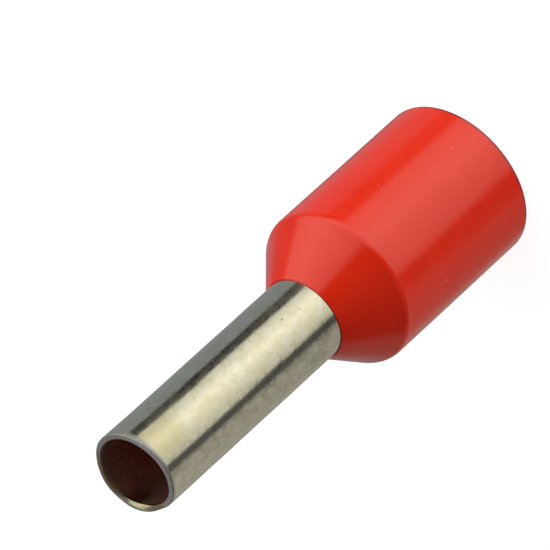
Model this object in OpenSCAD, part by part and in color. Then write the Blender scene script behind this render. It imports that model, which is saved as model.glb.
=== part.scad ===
// Insulated wire-end ferrule.
// A thin seamless metal sleeve takes the bare strands of a stranded wire, and
// a plastic collar with a conical shoulder guides the strands in and takes the
// end of the wire's insulation. The part stands on the flat open end of its
// collar, with the sleeve straight up. Millimetres.

/* [Sleeve] */
// Outside diameter of the metal sleeve
sleeve_od = 2.6; // [2.2:0.05:2.64]
// Wall thickness of the metal sleeve
sleeve_wall = 0.16; // [0.1:0.01:0.25]
// Length of sleeve that stands out of the collar
sleeve_reach = 7.8; // [5:0.1:18]
// Largest diameter of the funnel that the sleeve opens into inside the collar
funnel_od = 3.9; // [3.2:0.05:4.1]
// Radius that breaks the two edges of the sleeve's cut mouth
mouth_edge_r = 0.02; // [0.01:0.005:0.045]

/* [Collar] */
// Outside diameter of the collar's barrel
collar_od = 5.0; // [4.8:0.05:5.6]
// Wall thickness of the collar's barrel
collar_wall = 0.4; // [0.3:0.01:0.45]
// Length of the collar from its open end to its nose
collar_length = 7.3; // [6:0.1:9]
// Axial length of the conical shoulder between barrel and nose
cone_length = 1.56; // [1.2:0.02:2]
// Outside diameter of the nose, where the shoulder meets the sleeve
nose_od = 2.66; // [2.66:0.01:2.9]
// Length over which the nose grips the straight sleeve
nose_grip = 0.18; // [0.1:0.02:0.4]
// Axial length of the conical seat between that grip and the barrel's bore
seat_length = 1.33; // [1:0.01:1.6]
// Blend radius between the barrel and the shoulder
shoulder_r = 0.36; // [0.12:0.06:0.6]
// Radius on the outer edge of the open end
rim_r = 0.03; // [0.02:0.01:0.15]
// Width of the small lead-in chamfer on the inner edge of the open end
lead_in = 0.08; // [0.02:0.01:0.12]

/* [Hidden] */
$fn = 96;

// radii
sleeve_r = sleeve_od / 2;
bore_r = sleeve_r - sleeve_wall;
barrel_r = collar_od / 2;
cavity_r = barrel_r - collar_wall;
nose_r = nose_od / 2;
funnel_r = funnel_od / 2;

// heights above the open end
tip_z = collar_length + sleeve_reach;
cone_z = collar_length - cone_length;

// The conical seat inside the shoulder, from the sleeve's outside to the
// barrel's bore. The shoulder's wall thins towards the nose.
seat_top_z = collar_length - nose_grip;
seat_low_z = seat_top_z - seat_length;
seat_a = atan((cavity_r - sleeve_r) / seat_length);
// The height at which a line parallel to the seat, a depth d further in,
// passes the radius r
function seat_z(r, d) = seat_top_z - (r - sleeve_r + d / cos(seat_a)) / tan(seat_a);

// The funnel lies on that seat and ends square to its own wall
funnel_z = seat_z(funnel_r, 0);
funnel_in_r = funnel_r - sleeve_wall * cos(seat_a);
funnel_in_z = funnel_z - sleeve_wall * sin(seat_a);
throat_z = seat_z(bore_r, sleeve_wall);

// A corner c of a profile is rounded to radius r, given the unit vectors u and
// v along its two faces away from the corner. corner_wedge() is the piece
// between the feet of the rounding, and rounded() swaps it for a round one.
function unit(v) = v / norm(v);
function dot2(u, v) = u[0] * v[0] + u[1] * v[1];
function half_angle(u, v) = acos(dot2(u, v)) / 2;
function round_centre(c, u, v, r) = c + unit(u + v) * r / sin(half_angle(u, v));
function foot(c, u, v, r) = c + u * r / tan(half_angle(u, v));

module corner_wedge(c, u, v, r) {
  o = round_centre(c, u, v, r);
  p = foot(c, u, v, r);
  q = foot(c, v, u, r);
  polygon([o, o + 3 * (p - o), o + 4 * (p - o) + 4 * (q - o), o + 3 * (q - o)]);
}

module rounded(c, u, v, r) {
  difference() {
    children();
    corner_wedge(c, u, v, r);
  }
  intersection() {
    children();
    translate(round_centre(c, u, v, r)) circle(r);
    corner_wedge(c, u, v, r);
  }
}

// One drawn length of thin tube, square cut at the mouth and flared at the
// hidden end into a short funnel that guides the strands and locks the collar.
module metal_sleeve() {
  color([0.80, 0.78, 0.70])
  rotate_extrude()
  rounded([sleeve_r, tip_z], [-1, 0], [0, -1], mouth_edge_r)
  rounded([bore_r, tip_z], [1, 0], [0, -1], mouth_edge_r)
  polygon([
    [bore_r, tip_z],
    [bore_r, throat_z],
    [funnel_in_r, funnel_in_z],
    [funnel_r, funnel_z],
    [sleeve_r, seat_top_z],
    [sleeve_r, tip_z]
  ]);
}

// The moulded collar: straight barrel, conical shoulder, and a thin nose that
// grips the sleeve.
module insulating_collar() {
  slope = unit([nose_r - barrel_r, cone_length]);
  color([0.88, 0.10, 0.06])
  rotate_extrude()
  rounded([barrel_r, cone_z], [0, -1], slope, shoulder_r)
  rounded([barrel_r, 0], [0, 1], [-1, 0], rim_r)
  polygon([
    [sleeve_r, collar_length],
    [sleeve_r, seat_top_z],
    [cavity_r, seat_low_z],
    [cavity_r, lead_in],
    [cavity_r + lead_in, 0],
    [barrel_r, 0],
    [barrel_r, cone_z],
    [nose_r, collar_length]
  ]);
}

metal_sleeve();
insulating_collar();
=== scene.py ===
import math

import bpy
import numpy as np
from mathutils import Matrix, Vector


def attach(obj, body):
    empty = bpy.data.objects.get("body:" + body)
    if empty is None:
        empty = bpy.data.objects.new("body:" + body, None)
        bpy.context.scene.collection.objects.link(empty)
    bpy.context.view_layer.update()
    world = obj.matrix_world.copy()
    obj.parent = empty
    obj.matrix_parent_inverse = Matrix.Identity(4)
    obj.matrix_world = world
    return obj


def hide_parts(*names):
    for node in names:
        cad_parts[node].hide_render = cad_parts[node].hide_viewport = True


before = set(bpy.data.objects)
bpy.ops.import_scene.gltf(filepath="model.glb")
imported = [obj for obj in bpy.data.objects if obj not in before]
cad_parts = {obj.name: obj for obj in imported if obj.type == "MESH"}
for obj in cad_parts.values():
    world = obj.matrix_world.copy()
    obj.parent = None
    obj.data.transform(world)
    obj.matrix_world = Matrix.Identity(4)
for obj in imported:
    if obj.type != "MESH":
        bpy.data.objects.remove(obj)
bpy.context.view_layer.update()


scene = bpy.context.scene

# ---------------------------------------------------------------- camera
# The part stands on the collar's open end, its axis along +Z. The camera looks down on it at 36 degrees, rolled.
cam_data = bpy.data.cameras.new("camera")
cam_data.sensor_fit = "HORIZONTAL"
cam_data.sensor_width = 36.0
cam_data.lens = 475.70
cam_data.clip_start = 0.01
cam_data.clip_end = 3.0
cam = bpy.data.objects.new("camera", cam_data)
scene.collection.objects.link(cam)
cam.matrix_world = Matrix((
    (-0.67364926, 0.73901757, -0.00705023, 0.0000193),
    (-0.43490537, -0.40411357, -0.80470463, -0.1638416),
    (-0.59753995, -0.53902250, 0.59363352, 0.1278748),
    (0.0, 0.0, 0.0, 1.0),
))
scene.camera = cam
scene.view_settings.view_transform = "Standard"
scene.view_settings.look = "None"

scene.cycles.max_bounces = 24
scene.cycles.glossy_bounces = 24

MM = 0.001


# ---------------------------------------------------------------- node helpers
class Tree:
    """A short way to write a node tree: every call returns an output socket."""

    def __init__(self, tree):
        self.t = tree
        tree.nodes.clear()

    def node(self, kind, **props):
        n = self.t.nodes.new(kind)
        for k, v in props.items():
            setattr(n, k, v)
        return n

    def put(self, socket, value):
        if isinstance(value, bpy.types.NodeSocket):
            self.t.links.new(value, socket)
        elif value is not None:
            socket.default_value = value

    def math(self, op, a, b=None, c=None, clamp=False):
        n = self.node("ShaderNodeMath", operation=op, use_clamp=clamp)
        for s, v in zip(n.inputs, (a, b, c)):
            self.put(s, v)
        return n.outputs[0]

    def ramp(self, x, lo, hi, to_lo=0.0, to_hi=1.0, smooth=True):
        n = self.node("ShaderNodeMapRange", interpolation_type="SMOOTHSTEP" if smooth else "LINEAR")
        n.clamp = True
        for s, v in zip(n.inputs[:5], (x, lo, hi, to_lo, to_hi)):
            self.put(s, v)
        return n.outputs[0]

    def curve(self, x, points, lo, hi, out_lo, out_hi):
        """A line through points, given as (x, y) pairs in real units."""
        n = self.node("ShaderNodeFloatCurve")
        c = n.mapping.curves[0]
        pts = [((px - lo) / (hi - lo), (py - out_lo) / (out_hi - out_lo)) for px, py in points]
        while len(c.points) < len(pts):
            c.points.new(0.5, 0.5)
        for p, xy in zip(c.points, pts):
            p.location = xy
            p.handle_type = "AUTO_CLAMPED"
        n.mapping.extend = "HORIZONTAL"
        n.mapping.update()
        self.put(n.inputs["Value"], self.ramp(x, lo, hi, smooth=False))
        return self.math("MULTIPLY_ADD", n.outputs[0], out_hi - out_lo, out_lo)

    def color(self, factor, a, b, blend="MIX", clamp=True):
        n = self.node("ShaderNodeMix", data_type="RGBA", blend_type=blend, clamp_factor=clamp)
        self.put(n.inputs[0], factor)
        self.put(n.inputs[6], a if isinstance(a, bpy.types.NodeSocket) else (*a, 1.0))
        self.put(n.inputs[7], b if isinstance(b, bpy.types.NodeSocket) else (*b, 1.0))
        return n.outputs[2]

    def noise(self, vector, scale, detail=2.0, rough=0.5, distortion=0.0):
        n = self.node("ShaderNodeTexNoise")
        self.put(n.inputs["Vector"], vector)
        n.inputs["Scale"].default_value = scale
        n.inputs["Detail"].default_value = detail
        n.inputs["Roughness"].default_value = rough
        n.inputs["Distortion"].default_value = distortion
        return n.outputs["Fac"]

    def spots(self, vector, scale, size):
        """Sparse round specks, each of its own size."""
        n = self.node("ShaderNodeTexVoronoi", feature="F1")
        self.put(n.inputs["Vector"], vector)
        n.inputs["Scale"].default_value = scale
        own = self.node("ShaderNodeSeparateColor")
        self.put(own.inputs[0], n.outputs["Color"])
        radius = self.math("MULTIPLY", own.outputs[0], size)
        return self.ramp(self.math("SUBTRACT", n.outputs["Distance"], radius), 0.25 * size, -0.25 * size)

    def mapped(self, vector, scale=(1, 1, 1), location=(0, 0, 0)):
        n = self.node("ShaderNodeMapping")
        self.put(n.inputs["Vector"], vector)
        n.inputs["Scale"].default_value = scale
        n.inputs["Location"].default_value = location
        return n.outputs[0]


# ---------------------------------------------------------------- studio light
# A tall soft box in front, a dim card on each side and dark gaps between them, as far away as a room.
world = bpy.data.worlds.new("studio")
scene.world = world
world.use_nodes = True
w = Tree(world.node_tree)
sep = w.node("ShaderNodeSeparateXYZ")
w.put(sep.inputs[0], w.node("ShaderNodeTexCoord").outputs["Generated"])
minus_y = w.math("MULTIPLY", sep.outputs[1], -1.0)
azimuth = w.math("MULTIPLY", w.math("ARCTAN2", sep.outputs[0], minus_y), 180 / math.pi)
elevation = w.math("MULTIPLY", w.math("ARCSINE", sep.outputs[2]), 180 / math.pi)

left_edge = w.curve(elevation, [(-90, -38), (-37.8, -38), (-36.6, -41), (-34, -41), (-20, -16), (0, 2), (35, 20), (90, 30)], -90, 90, -90, 90)
right_edge = w.curve(elevation, [(-90, 58), (-35, 60), (8, 111), (17, 126), (90, 132)], -90, 90, 0, 180)
wall_edge = w.curve(elevation, [(-90, -78), (-37.4, -78), (-36.2, -61), (-33, -62), (-20, -80), (0, -110), (25, -126), (90, -150)], -90, 90, -180, 0)


def step(x, edge, soft):
    """0 below the edge and 1 above it, with a soft change."""
    return w.ramp(w.math("SUBTRACT", x, edge), -soft / 2, soft / 2)


def times(*parts):
    out = parts[0]
    for q in parts[1:]:
        out = w.math("MULTIPLY", out, q)
    return out


def inverse(x):
    return w.math("SUBTRACT", 1.0, x)


# the box has crisp edges only in the belt that the sleeve mirrors
belt = times(step(elevation, -36.8, 1.2), inverse(step(elevation, -32.5, 2.0)))
crisp = times(step(azimuth, left_edge, 5.0), inverse(step(azimuth, right_edge, 5.0)))
faded = times(step(azimuth, left_edge, 15.0), inverse(step(azimuth, right_edge, 15.0)))
soft_box = w.math("MULTIPLY_ADD", belt, w.math("SUBTRACT", crisp, faded), faded)
across = w.math("DIVIDE", w.math("SUBTRACT", azimuth, left_edge), w.math("SUBTRACT", right_edge, left_edge))
glow = w.curve(across, [(0.0, 0.74), (0.10, 0.80), (0.25, 0.97), (0.41, 1.17), (0.59, 1.36), (0.73, 1.20), (0.88, 0.97), (1.0, 0.86)], 0, 1, 0, 2)
glow = w.math("MULTIPLY_ADD", step(elevation, 15.0, 60.0), 0.12, glow)
glow = w.math("MULTIPLY", glow, w.ramp(elevation, -43.0, -58.0, 1.0, 0.35))
wall = w.math("MULTIPLY_ADD", step(elevation, -30.0, 12.0),
              w.math("SUBTRACT", inverse(step(azimuth, wall_edge, 34.0)), inverse(step(azimuth, wall_edge, 8.0))), inverse(step(azimuth, wall_edge, 8.0)))
grey = times(step(azimuth, 86.0, 8.0), inverse(soft_box))
high = step(elevation, 14.0, 30.0)
overhead = step(elevation, 68.0, 24.0)

c = w.color(times(inverse(step(azimuth, 0.0, 20.0)), step(elevation, -36.7, 1.0), inverse(step(elevation, -22.0, 12.0))),
            (0.048, 0.047, 0.050), (0.115, 0.114, 0.117))
c = w.color(times(belt, step(azimuth, 30.0, 20.0)), c, (0.006, 0.004, 0.016))
c = w.color(wall, c, (0.445, 0.430, 0.390))
c = w.color(times(wall, belt, w.ramp(azimuth, -132.0, -90.0)), c, (0.500, 0.485, 0.445))
low = inverse(step(elevation, -36.8, 1.2))
c = w.color(times(wall, inverse(low), w.ramp(azimuth, -136.0, -160.0)), c, (0.360, 0.355, 0.335))
c = w.color(times(wall, low), c, (0.21, 0.20, 0.175))
c = w.color(times(wall, low, w.ramp(azimuth, -128.0, -152.0)), c, (0.37, 0.355, 0.32))
c = w.color(times(wall, w.ramp(azimuth, -150.0, -172.0)), c, (0.30, 0.29, 0.26))
c = w.color(times(low, step(azimuth, 30.0, 20.0), inverse(wall)), c, (0.22, 0.205, 0.18))
c = w.color(times(wall, step(elevation, -18.0, 16.0)), c, (0.28, 0.27, 0.245))
c = w.color(times(wall, high), c, (0.30, 0.29, 0.28))
c = w.color(grey, c, (0.29, 0.318, 0.345))
c = w.color(times(grey, w.ramp(azimuth, 142.0, 170.0), low), c, (0.14, 0.13, 0.14))
c = w.color(times(grey, inverse(step(azimuth, 152.0, 24.0)), step(elevation, -12.0, 16.0)), c, (0.19, 0.20, 0.205))
c = w.color(times(grey, high), c, (0.31, 0.305, 0.315))
# the two cards meet behind the part in one tone
behind = times(w.math("ADD", w.ramp(azimuth, 146.0, 177.0), w.ramp(azimuth, -146.0, -177.0)), step(elevation, -36.0, 3.0), inverse(high))
c = w.color(behind, c, (0.30, 0.30, 0.295))
c = w.color(overhead, c, (0.30, 0.30, 0.30))
box_color = w.node("ShaderNodeVectorMath", operation="SCALE")
box_color.inputs[0].default_value = (1.0, 0.985, 0.865)
w.put(box_color.inputs["Scale"], glow)
c = w.color(soft_box, c, box_color.outputs[0], clamp=False)
c = w.color(inverse(w.ramp(elevation, -46.0, -62.0, 1.0, 0.50)), c, (0.0, 0.0, 0.0))
background = w.node("ShaderNodeBackground")
w.put(background.inputs["Color"], c)
background.inputs["Strength"].default_value = 1.0
w.put(w.node("ShaderNodeOutputWorld").inputs["Surface"], background.outputs[0])

# two large weak lamps even out the light on the plastic, and are too dull to show as reflections
for name, az, el, power in (("fill", -62, -26, 1.13), ("key", 46, -12, 0.64)):
    data = bpy.data.lights.new(name, "SUN")
    data.energy = power
    data.angle = math.radians(80)
    lamp = bpy.data.objects.new(name, data)
    scene.collection.objects.link(lamp)
    lamp.visible_glossy = False
    az, el = math.radians(az), math.radians(el)
    towards = Vector((math.cos(el) * math.sin(az), -math.cos(el) * math.cos(az), math.sin(el)))
    lamp.rotation_euler = towards.to_track_quat("Z", "Y").to_euler()

# ---------------------------------------------------------------- floor and backdrop
# One pale sheet: a flat floor that turns up into a dome. Only the camera sees it.
R_FLOOR, R_DOME = 0.36, 0.50


def revolve(name, rows, segments, closed=False, shape=None):
    """A mesh turned about Z from rows of (radius, height), with no faces of zero area. A row at radius 0 is a single point."""
    verts, index = [], []
    for r, z in rows:
        if r == 0:
            index.append([len(verts)] * segments)
            verts.append((0.0, 0.0, z))
        else:
            index.append(list(range(len(verts), len(verts) + segments)))
            a = np.arange(segments) * 2 * math.pi / segments
            verts.extend(zip(r * np.sin(a), -r * np.cos(a), np.full(segments, z)))
    faces = []
    loops = list(zip(index, index[1:] + (index[:1] if closed else [])))
    if not closed:
        loops = loops[: len(rows) - 1]
    for lower, upper in loops:
        for i in range(segments):
            j = (i + 1) % segments
            face = []
            for v in (lower[i], lower[j], upper[j], upper[i]):
                if v not in face:
                    face.append(v)
            faces.append(face)
    co = np.array(verts, float)
    if shape is not None:
        co = shape(co)
    mesh = bpy.data.meshes.new(name)
    mesh.from_pydata([tuple(v) for v in co * MM], [], faces)
    mesh.polygons.foreach_set("use_smooth", [True] * len(mesh.polygons))
    mesh.update()
    ob = bpy.data.objects.new(name, mesh)
    scene.collection.objects.link(ob)
    return ob


dome_rows = [(0, 0)] + [(r, 0) for r in np.linspace(20, R_FLOOR / MM, 18)]
bend = R_DOME / MM - R_FLOOR / MM
dome_rows += [(R_FLOOR / MM + bend * math.sin(t), bend * (1 - math.cos(t))) for t in np.linspace(0.1, math.pi / 2, 14)]
dome_rows += [(R_DOME / MM * math.cos(t), bend + (R_DOME / MM - bend) * math.sin(t)) for t in np.linspace(0.08, math.pi / 2 - 0.02, 24)]
dome_rows += [(0, R_DOME / MM)]
floor = revolve("floor", dome_rows, 96)
fm = bpy.data.materials.new("pale_floor")
fm.use_nodes = True
f = Tree(fm.node_tree)
pos = f.node("ShaderNodeTexCoord").outputs["Object"]
tone = f.color(f.noise(f.mapped(pos, (1, 1, 1)), 30.0, 2.0), (0.985, 0.985, 0.985), (1.0, 1.0, 1.0))
emit = f.node("ShaderNodeEmission")
f.put(emit.inputs["Color"], tone)
emit.inputs["Strength"].default_value = 0.91
diff = f.node("ShaderNodeBsdfDiffuse")
diff.inputs["Color"].default_value = (0.34, 0.34, 0.34, 1.0)
add = f.node("ShaderNodeAddShader")
f.put(add.inputs[0], emit.outputs[0])
f.put(add.inputs[1], diff.outputs[0])
f.put(f.node("ShaderNodeOutputMaterial").inputs["Surface"], add.outputs[0])
floor.data.materials.append(fm)
floor.visible_glossy = False
floor.visible_diffuse = False
floor.visible_transmission = False
floor.visible_volume_scatter = False
floor.visible_shadow = False


# ---------------------------------------------------------------- profiles
def rounded_path(points, radii, steps=8):
    """A polyline with each corner rounded by its own radius."""
    out = []
    n = len(points)
    for i in range(n):
        p0, p1, p2 = (np.array(points[(i + k) % n], float) for k in (-1, 0, 1))
        r = radii[i]
        if r <= 0:
            out.append(tuple(p1))
            continue
        d1, d2 = (p0 - p1), (p2 - p1)
        l1, l2 = np.linalg.norm(d1), np.linalg.norm(d2)
        d1, d2 = d1 / l1, d2 / l2
        ang = math.acos(max(-1, min(1, float(d1 @ d2))))
        t = r / math.tan(ang / 2)
        a, b = p1 + d1 * t, p1 + d2 * t
        bis = (d1 + d2) / np.linalg.norm(d1 + d2)
        centre = p1 + bis * (r / math.sin(ang / 2))
        a0 = math.atan2(*(a - centre)[::-1])
        a1 = math.atan2(*(b - centre)[::-1])
        turn = (a1 - a0 + math.pi) % (2 * math.pi) - math.pi
        for k in range(steps + 1):
            t = a0 + turn * k / steps
            out.append((centre[0] + r * math.cos(t), centre[1] + r * math.sin(t)))
    return out


def filled(points, step, edge=0.03):
    """The closed outline with long stretches cut into rows, and one row close to each of their ends."""
    out = []
    n = len(points)
    for i in range(n):
        a, b = np.array(points[i], float), np.array(points[(i + 1) % n], float)
        length = float(np.linalg.norm(b - a))
        out.append(tuple(a))
        if length > 4 * edge:
            count = max(1, int(round((length - 2 * edge) / step)))
            for s in [edge + (length - 2 * edge) * k / count for k in range(count + 1)]:
                out.append(tuple(a + (b - a) * s / length))
    return out


def smooth01(x):
    x = np.clip(x, 0, 1)
    return x * x * (3 - 2 * x)


# ---------------------------------------------------------------- sleeve
TIP, INNER_R = 15.1, 0.11
sleeve_points = [(1.14, 7.0756), (1.14, TIP), (1.30, TIP), (1.30, 7.12), (1.95, 6.0394), (1.8129, 5.9569)]
sleeve_rows = filled(rounded_path(sleeve_points, [0.10, INNER_R, 0.040, 0, 0.03, 0.03]), 0.16)


def dent(a, centre, width):
    d = (np.degrees(a) - centre + 180) % 360 - 180
    return np.exp(-((d / width) ** 2))


def shape_sleeve(co):
    r = np.hypot(co[:, 0], co[:, 1])
    a = np.arctan2(co[:, 0], -co[:, 1])
    z = co[:, 2]
    near = smooth01((z - 12.6) / (TIP - 12.6))
    lip = smooth01((z - 14.0) / (TIP - 14.0))
    # cut a little out of square, pinched slightly oval, and dented on the far side
    dz = (0.070 * np.sin(a) - 0.020 * np.cos(a) + 0.034 * dent(a, 172, 40)) * lip
    dr = (0.030 * np.cos(2 * (a - math.radians(32))) + 0.020 * np.cos(3 * (a - math.radians(74)))) * near
    dr += 0.028 * dent(a, -78, 26) * near
    dr += (0.024 * dent(a, 105, 24) - 0.018 * dent(a, 189, 12) + 0.030 * dent(a, 214, 18)) * lip
    dr += -0.035 * dent(a, -105, 14) * smooth01((z - 14.75) / 0.35)
    # the bore is not quite concentric at the mouth: a thicker wall in front and a burr on the far side
    inside = smooth01((1.25 - r) / 0.11) * smooth01((z - 14.6) / 0.5)
    dr += -(0.044 * dent(a, 225, 26) + 0.024 * dent(a, 10, 75)) * inside
    # the inner edge is nearly sharp, with a wide chamfer only at the burr
    turned = np.arctan2(z - (TIP - INNER_R), 1.14 + INNER_R - r)
    on_edge = (np.abs(np.hypot(1.14 + INNER_R - r, z - (TIP - INNER_R)) - INNER_R) < 1e-4) & (turned > -1e-6) & (turned < math.pi / 2 + 1e-6)
    burr = dent(a, 222, 31)
    size = 0.028 + (INNER_R - 0.028) * burr
    arc_r, arc_z = 1.14 + size * (1 - np.cos(turned)), TIP - size * (1 - np.sin(turned))
    flat = np.clip(turned / (math.pi / 2), 0, 1)
    cut_r, cut_z = 1.14 + size * flat, TIP - size * (1 - flat)
    k = 0.75 * burr
    new_r, new_z = arc_r + (cut_r - arc_r) * k, arc_z + (cut_z - arc_z) * k
    dr = np.where(on_edge, dr + new_r - r, dr)
    dz = np.where(on_edge, dz + new_z - z, dz)
    # a slow unevenness from drawing and tinning, which stops where the collar holds the sleeve
    free = smooth01((z - 7.3) / 0.6)
    dr += 0.0022 * np.sin(3 * a + 0.9 * z + 0.4) * np.sin(1.7 * z + 1.3) * free
    dr += 0.0012 * np.sin(7 * a - 1.3 * z) * np.sin(2.9 * z) * free
    grow = (r + dr) / r
    return np.column_stack([co[:, 0] * grow, co[:, 1] * grow, z + dz])


sleeve = revolve("sleeve", sleeve_rows, 320, closed=True, shape=shape_sleeve)

# ---------------------------------------------------------------- collar
collar_points = [(1.30, 7.12), (1.30, 7.3), (1.33, 7.3), (2.5, 5.74), (2.5, 0.0), (2.18, 0.0), (2.1, 0.08), (2.1, 5.79)]
collar_rows = filled(rounded_path(collar_points, [0, 0.010, 0.010, 0.36, 0.05, 0.02, 0.02, 0.10], 8), 0.16)


def shape_collar(co):
    r = np.hypot(co[:, 0], co[:, 1])
    a = np.arctan2(co[:, 0], -co[:, 1])
    z = co[:, 2]
    # the seat that the sleeve bears on stays true
    outside, seat = 1.33 + 0.75 * (7.3 - z), 1.30 + 0.6015 * (7.12 - z)
    inner = r < np.minimum((outside + seat) / 2, 2.3)
    free = np.where(inner, smooth01((5.7 - z) / 1.0), smooth01((7.0 - z) / 1.0))
    dr = 0.004 * np.sin(2 * a + 0.7) * free + 0.0015 * np.sin(5 * a + 1.1 * z) * free
    grow = (r + dr) / r
    return np.column_stack([co[:, 0] * grow, co[:, 1] * grow, z])


collar = revolve("collar", collar_rows, 320, closed=True, shape=shape_collar)


# ---------------------------------------------------------------- tinned copper
tin = bpy.data.materials.new("tinned_copper")
tin.use_nodes = True
t = Tree(tin.node_tree)
mm = t.mapped(t.node("ShaderNodeTexCoord").outputs["Object"], (1000, 1000, 1000))
blotch = t.noise(mm, 2.6, 3.0, 0.6, 0.6)
mottle = t.noise(t.mapped(mm, (1, 1, 0.8), (5, 3, 1)), 4.6, 2.0, 0.5, 0.3)
streak = t.noise(t.mapped(mm, (1, 1, 0.045), (2, 7, 0)), 11.0, 3.0, 0.6)
pepper = t.noise(t.mapped(mm, (1, 1, 0.8), (9, 1, 4)), 15.0, 2.0, 0.65)
grain = t.noise(mm, 42.0, 1.0, 0.5)
specks = t.spots(mm, 1.7, 0.085)

colour = t.color(t.ramp(blotch, 0.32, 0.68), (0.640, 0.602, 0.465), (0.688, 0.668, 0.575))
colour = t.color(t.ramp(mottle, 0.45, 0.72, 0.0, 0.62), colour, (0.570, 0.562, 0.395))
colour = t.color(t.ramp(mottle, 0.42, 0.22, 0.0, 0.45), colour, (0.715, 0.705, 0.640))
colour = t.color(t.ramp(streak, 0.40, 0.70, 0.0, 0.07), colour, (0.50, 0.49, 0.44))
colour = t.color(t.ramp(pepper, 0.42, 0.70, 0.0, 0.12), colour, (0.46, 0.45, 0.36))
colour = t.color(t.math("MULTIPLY", specks, 0.70), colour, (0.14, 0.12, 0.10))
# the cut edge is dull and greyer, and the bore is coppery: partly the copper itself, partly painted reflection of the
# red collar's light
xyz = t.node("ShaderNodeSeparateXYZ")
t.put(xyz.inputs[0], mm)
radius = t.math("SQRT", t.math("ADD", t.math("POWER", xyz.outputs[0], 2.0), t.math("POWER", xyz.outputs[1], 2.0)))


def facing(degrees, lo, hi, value=1.0):
    """Up to value on the side of the axis at this azimuth, and 0 away from it."""
    q = math.radians(degrees)
    along = t.math("MULTIPLY_ADD", xyz.outputs[1], -math.cos(q), t.math("MULTIPLY", xyz.outputs[0], math.sin(q)))
    return t.ramp(t.math("DIVIDE", along, radius), lo, hi, 0.0, value)


# a darker, yellower patch on the front of the last two millimetres: painted shade standing for the dimmer reflection
# there
painted_shade_patch = t.math("MULTIPLY", facing(10, 0.88, 0.99), t.ramp(t.math("MULTIPLY_ADD", blotch, 0.9, xyz.outputs[2]), TIP - 1.25, TIP - 0.55))
colour = t.color(t.math("MULTIPLY", painted_shade_patch, 0.85), colour, (0.545, 0.490, 0.325))
lifted = t.math("ADD", xyz.outputs[2], facing(59, 0.945, 1.0, 0.09))
cut = t.ramp(lifted, TIP - 0.20, TIP - 0.02)
worn = t.math("MULTIPLY", facing(230, 0.62, 0.86), t.ramp(radius, 1.28, 1.24))
cut = t.math("MULTIPLY", cut, t.math("SUBTRACT", 1.0, worn))
bore = t.math("MULTIPLY", t.ramp(radius, 1.20, 1.155), t.ramp(xyz.outputs[2], TIP - 0.10, TIP - 0.22))
burnt = t.math("MULTIPLY", t.math("MULTIPLY", t.ramp(radius, 1.25, 1.19), t.ramp(xyz.outputs[2], TIP - 0.22, TIP - 0.02)), facing(185, 0.0, 0.8))
colour = t.color(t.math("MULTIPLY", cut, 0.85), colour, (0.40, 0.392, 0.400))
# on the cut edge, painted shade towards azimuth 158 and a painted highlight towards azimuth 8
colour = t.color(t.math("MULTIPLY", cut, facing(158, 0.45, 0.95, 0.8)), colour, (0.21, 0.190, 0.155))
colour = t.color(t.math("MULTIPLY", cut, facing(8, 0.70, 1.0, 0.9)), colour, (0.56, 0.54, 0.58))
colour = t.color(t.math("MULTIPLY", cut, t.ramp(radius, 1.25, 1.29, 0.0, 0.55)), colour, (0.30, 0.305, 0.29))
# the burr is tinted darker and warmer: painted shade that dims the highlight on its crescent
burr_painted_shade = t.math("MULTIPLY", t.math("MULTIPLY", worn, facing(238, 0.76, 0.95)), t.ramp(xyz.outputs[2], TIP - 0.30, TIP - 0.16, 0.0, 0.80))
colour = t.color(burr_painted_shade, colour, (0.33, 0.285, 0.165))
# coppery bore: partly the copper, partly painted reflection of the red collar
colour = t.color(bore, colour, (0.725, 0.457, 0.370))
colour = t.color(t.math("MULTIPLY", burnt, t.math("SUBTRACT", 1.0, worn)), colour, (0.27, 0.165, 0.085))
colour = t.color(t.math("MULTIPLY", cut, t.ramp(pepper, 0.35, 0.65, 0.0, 0.45)), colour, (0.24, 0.23, 0.225))
rough = t.math("MULTIPLY_ADD", t.ramp(mottle, 0.3, 0.7), 0.06, 0.115)
rough = t.math("MULTIPLY_ADD", t.ramp(streak, 0.4, 0.7), 0.03, rough)
rough = t.math("MULTIPLY_ADD", cut, 0.30, rough)
rough = t.math("MULTIPLY_ADD", bore, 0.10, rough)
height = t.math("MULTIPLY_ADD", blotch, 1.0, t.math("MULTIPLY", mottle, 0.28))
height = t.math("MULTIPLY_ADD", streak, 0.10, height)
height = t.math("MULTIPLY_ADD", pepper, 0.05, height)
height = t.math("MULTIPLY_ADD", grain, 0.02, height)
bump = t.node("ShaderNodeBump")
bump.inputs["Strength"].default_value = 0.30
bump.inputs["Distance"].default_value = 0.000012
t.put(bump.inputs["Height"], t.math("MULTIPLY", height, t.math("MULTIPLY_ADD", bore, -0.9, 1.0)))
b = t.node("ShaderNodeBsdfPrincipled")
metal = t.math("MULTIPLY_ADD", bore, -0.09, 1.0)
metal = t.math("MULTIPLY_ADD", cut, -0.38, metal)
metal = t.math("MULTIPLY_ADD", t.math("MULTIPLY", burnt, t.math("SUBTRACT", 1.0, worn)), -0.12, metal)
t.put(b.inputs["Metallic"], metal)
t.put(b.inputs["Base Color"], colour)
t.put(b.inputs["Roughness"], rough)
t.put(b.inputs["Normal"], bump.outputs[0])
t.put(t.node("ShaderNodeOutputMaterial").inputs["Surface"], b.outputs[0])
sleeve.data.materials.append(tin)

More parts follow.
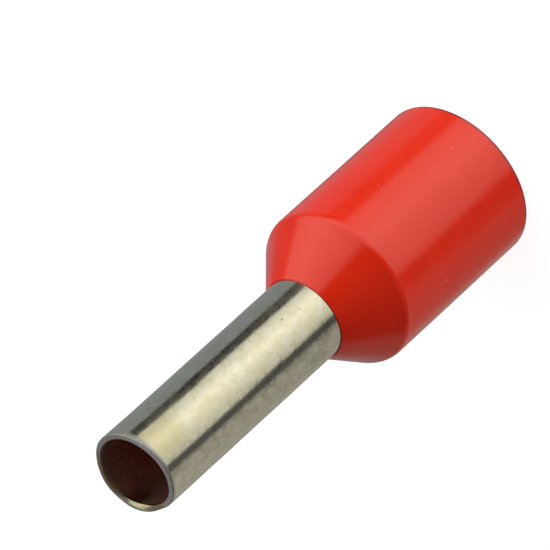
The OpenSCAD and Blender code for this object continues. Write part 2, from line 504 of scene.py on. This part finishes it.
# ---------------------------------------------------------------- red plastic
red = bpy.data.materials.new("red_plastic")
red.use_nodes = True
p = Tree(red.node_tree)
mm = p.mapped(p.node("ShaderNodeTexCoord").outputs["Object"], (1000, 1000, 1000))
cloud = p.noise(mm, 0.9, 2.0, 0.5)
fine = p.noise(mm, 9.0, 2.0, 0.6)
grain = p.noise(mm, 34.0, 2.0, 0.6)
dust = p.spots(mm, 1.1, 0.05)
colour = p.color(p.ramp(cloud, 0.3, 0.7), (0.850, 0.0245, 0.0050), (0.880, 0.029, 0.0075))
colour = p.color(p.ramp(fine, 0.35, 0.75, 0.0, 0.35), colour, (0.835, 0.022, 0.0048))
colour = p.color(p.math("MULTIPLY", dust, 0.35), colour, (0.90, 0.35, 0.28))
# a dark line painted along the edge of the open end: painted shade
pz = p.node("ShaderNodeSeparateXYZ")
p.put(pz.inputs[0], mm)
rim_painted_shade = p.ramp(p.math("MULTIPLY_ADD", fine, 0.03, pz.outputs[2]), 0.135, 0.070, 0.0, 0.85)
colour = p.color(rim_painted_shade, colour, (0.20, 0.030, 0.050))
rough = p.math("MULTIPLY_ADD", p.ramp(fine, 0.3, 0.7), 0.03, 0.120)
height = p.math("MULTIPLY_ADD", cloud, 1.0, p.math("MULTIPLY", fine, 0.10))
height = p.math("MULTIPLY_ADD", grain, 0.018, height)
bump = p.node("ShaderNodeBump")
bump.inputs["Strength"].default_value = 0.22
bump.inputs["Distance"].default_value = 0.00002
p.put(bump.inputs["Height"], height)
b = p.node("ShaderNodeBsdfPrincipled")
p.put(b.inputs["Base Color"], colour)
p.put(b.inputs["Roughness"], rough)
b.inputs["IOR"].default_value = 1.57
b.inputs["Subsurface Weight"].default_value = 0.0
p.put(b.inputs["Normal"], bump.outputs[0])
p.put(p.node("ShaderNodeOutputMaterial").inputs["Surface"], b.outputs[0])
collar.data.materials.append(red)

# ---------------------------------------------------------------- the table
for piece, node, slot in ((sleeve, "metal_sleeve", "tinned_copper"), (collar, "insulating_collar", "red_plastic")):
    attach(piece, "root")
    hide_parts(node)
